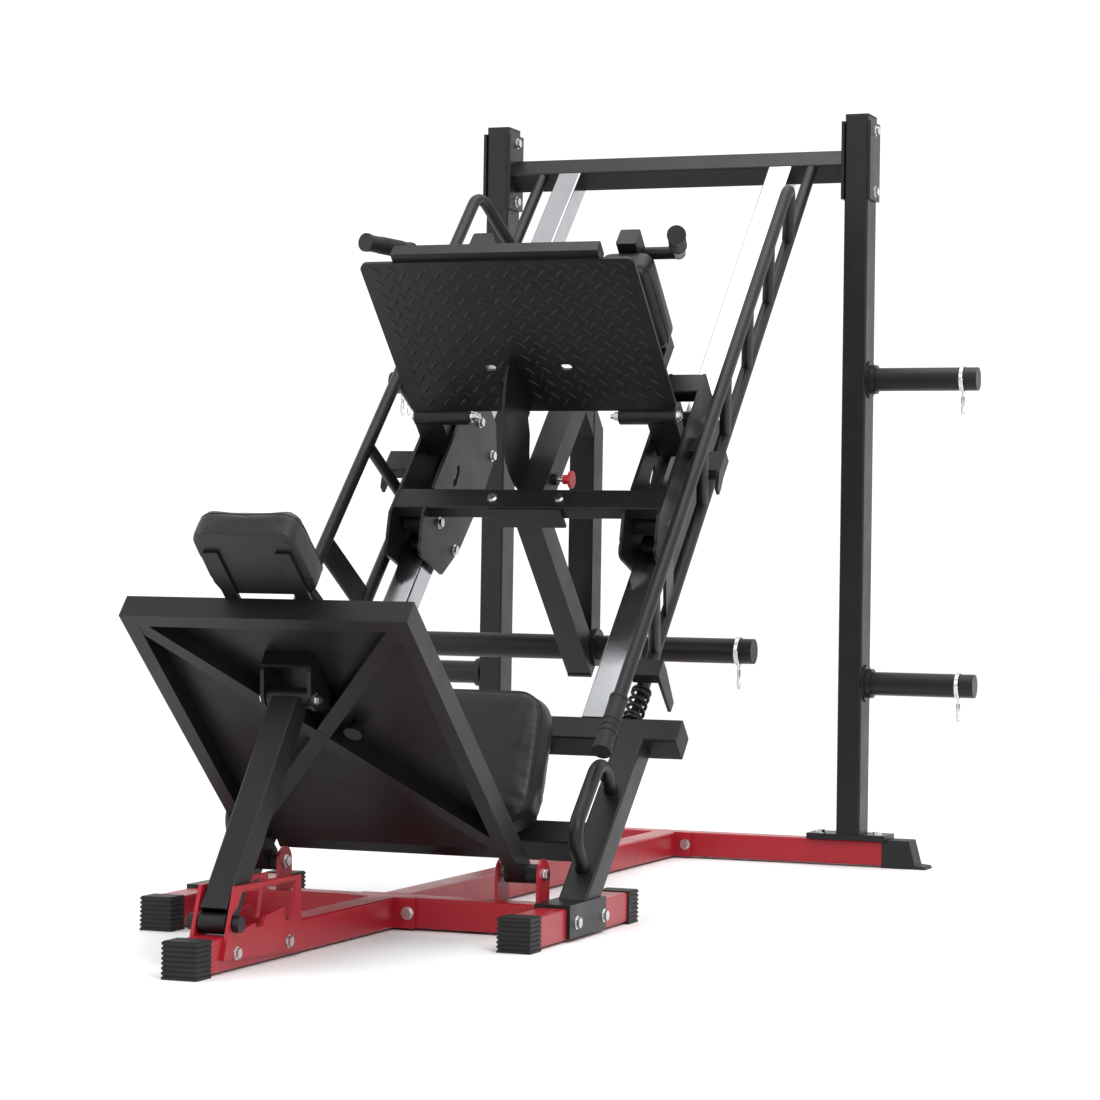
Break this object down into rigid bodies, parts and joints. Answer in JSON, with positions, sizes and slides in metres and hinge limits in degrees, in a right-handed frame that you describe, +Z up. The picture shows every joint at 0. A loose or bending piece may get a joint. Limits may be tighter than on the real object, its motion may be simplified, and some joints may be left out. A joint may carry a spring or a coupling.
{
  "type": "hack squat machine",
  "caption": "Plate-loaded hack squat and leg press: sled with foot plate on inclined chrome rails, swinging safety ladders, reclining back rest, seat and storage horns",
  "frame": {"origin": "centre of the bounding box on the floor", "axes": "X across the machine to the right as seen from the front, Y from front to back, Z up"},
  "size_m": [1.3, 2.25, 1.545],
  "materials": {
    "black_powder": "satin fine-texture powder coat",
    "red_powder": "satin powder coat",
    "chrome_rail": "polished",
    "zinc_steel": "bright zinc plate",
    "black_rubber": "moulded matte",
    "black_vinyl": "fine-grain vinyl upholstery",
    "clip_steel": "polished spring steel",
    "red_plastic": "moulded"
  },
  "bodies": {
    "frame": {"spine_front": "red_powder", "spine_rear": "red_powder", "front_crossbeam": "red_powder", "foot_tubes": "red_powder", "rear_beam": "red_powder", "uprights": "black_powder", "mounting_plates": "black_powder", "top_crossbar": "black_powder", "rails": "chrome_rail", "leg_crossmember": "black_powder", "seat_crossmember": "black_powder", "legs": "black_powder", "leg_saddles": "black_powder", "seat_bracket": "black_powder", "seat_pad": "black_vinyl", "grab_handles": "black_powder", "storage_horns": "black_powder", "end_caps": "black_rubber", "rear_feet": "black_rubber", "notch_plates": "red_powder", "hinge_brackets": "red_powder", "frame_bolts": "zinc_steel", "ladder_shafts": "black_powder", "buffer_springs": "black_powder"},
    "carriage": {"carriage_plates_inner": "black_powder", "carriage_plates_outer": "black_powder", "carriage_crossbar": "black_powder", "carriage_header": "black_powder", "weight_carrier": "black_powder", "weight_sleeve": "black_powder", "index_tube": "black_powder", "shoulder_frame": "black_powder", "shoulder_pad_left": "black_vinyl", "shoulder_pad_right": "black_vinyl", "shoulder_grips": "black_rubber", "carriage_bolts": "zinc_steel"},
    "footplate": {"footplate": "black_powder", "footplate_arm": "black_powder"},
    "index_pin": {"index_pin": "zinc_steel", "index_knob": "red_plastic"},
    "ladder_left": {"ladder_left": "black_powder", "ladder_grip_left": "black_rubber"},
    "ladder_right": {"ladder_right": "black_powder", "ladder_grip_right": "black_rubber"},
    "backrest": {"backrest_frame": "black_powder", "backrest_panel": "black_powder", "back_pad": "black_vinyl", "head_pad": "black_vinyl", "backrest_bolts": "zinc_steel"},
    "strut": {"strut": "black_powder", "strut_pin": "black_powder"},
    "rollers_upper_front": {"rollers_upper_front": "black_rubber"},
    "rollers_upper_back": {"rollers_upper_back": "black_rubber"},
    "rollers_lower_front": {"rollers_lower_front": "black_rubber"},
    "rollers_lower_back": {"rollers_lower_back": "black_rubber"},
    "storage_collar_right_upper": {"storage_collar_right_upper": "clip_steel"},
    "storage_collar_right_lower": {"storage_collar_right_lower": "clip_steel"},
    "storage_collar_left_upper": {"storage_collar_left_upper": "clip_steel"},
    "sleeve_collar_right": {"sleeve_collar_right": "clip_steel"}
  },
  "joints": [
    {"name": "carriage_slide", "type": "slide", "parent": "frame", "child": "carriage", "axis": [0, 0.7015, 0.7126], "range_m": [0, 0.57]},
    {"name": "rollers_upper_front_spin", "type": "hinge", "parent": "carriage", "child": "rollers_upper_front", "pos_m": [0, 0.47472, 0.88207], "axis": [1, 0, 0], "range_deg": [-1700, 1700]},
    {"name": "rollers_upper_back_spin", "type": "hinge", "parent": "carriage", "child": "rollers_upper_back", "pos_m": [0, 0.53885, 0.81893], "axis": [1, 0, 0], "range_deg": [-1700, 1700]},
    {"name": "rollers_lower_front_spin", "type": "hinge", "parent": "carriage", "child": "rollers_lower_front", "pos_m": [0, 0.27829, 0.68253], "axis": [1, 0, 0], "range_deg": [-1700, 1700]},
    {"name": "rollers_lower_back_spin", "type": "hinge", "parent": "carriage", "child": "rollers_lower_back", "pos_m": [0, 0.35435, 0.63151], "axis": [1, 0, 0], "range_deg": [-1700, 1700]},
    {"name": "footplate_tilt", "type": "hinge", "parent": "carriage", "child": "footplate", "pos_m": [0, 0.31771, 0.88508], "axis": [1, 0, 0], "range_deg": [0, 12]},
    {"name": "index_pin_slide", "type": "slide", "parent": "carriage", "child": "index_pin", "axis": [-1, 0, 0], "range_m": [0, 0.01]},
    {"name": "ladder_right_swing", "type": "hinge", "parent": "frame", "child": "ladder_right", "pos_m": [0.298, 0.57048, 0.93373], "axis": [0, 0.7015, 0.7126], "range_deg": [-6, 47]},
    {"name": "ladder_left_swing", "type": "hinge", "parent": "frame", "child": "ladder_left", "pos_m": [-0.298, 0.57048, 0.93373], "axis": [0, -0.7015, -0.7126], "range_deg": [-6, 47]},
    {"name": "backrest_tilt", "type": "hinge", "parent": "frame", "child": "backrest", "pos_m": [0, -0.366, 0.1], "axis": [-1, 0, 0], "range_deg": [0, 13.35]},
    {"name": "strut_swing", "type": "hinge", "parent": "backrest", "child": "strut", "pos_m": [0, -0.76592, 0.39404], "axis": [1, 0, 0], "range_deg": [0, 28.7]},
    {"name": "storage_collar_right_upper_slide", "type": "slide", "parent": "frame", "child": "storage_collar_right_upper", "axis": [-1, 0, 0], "range_m": [0, 0.17]},
    {"name": "storage_collar_right_lower_slide", "type": "slide", "parent": "frame", "child": "storage_collar_right_lower", "axis": [-1, 0, 0], "range_m": [0, 0.17]},
    {"name": "storage_collar_left_upper_slide", "type": "slide", "parent": "frame", "child": "storage_collar_left_upper", "axis": [1, 0, 0], "range_m": [0, 0.17]},
    {"name": "sleeve_collar_right_slide", "type": "slide", "parent": "carriage", "child": "sleeve_collar_right", "axis": [-1, 0, 0], "range_m": [0, 0.27]}
  ],
  "couplings": [
    {"joint": "rollers_upper_front_spin", "follows": "carriage_slide", "rad_per_m": -50.251},
    {"joint": "rollers_lower_front_spin", "follows": "carriage_slide", "rad_per_m": -50.251},
    {"joint": "rollers_upper_back_spin", "follows": "carriage_slide", "rad_per_m": 50.251},
    {"joint": "rollers_lower_back_spin", "follows": "carriage_slide", "rad_per_m": 50.251},
    {"joint": "strut_swing", "follows": "backrest_tilt", "ratio": 2.14}
  ]
}
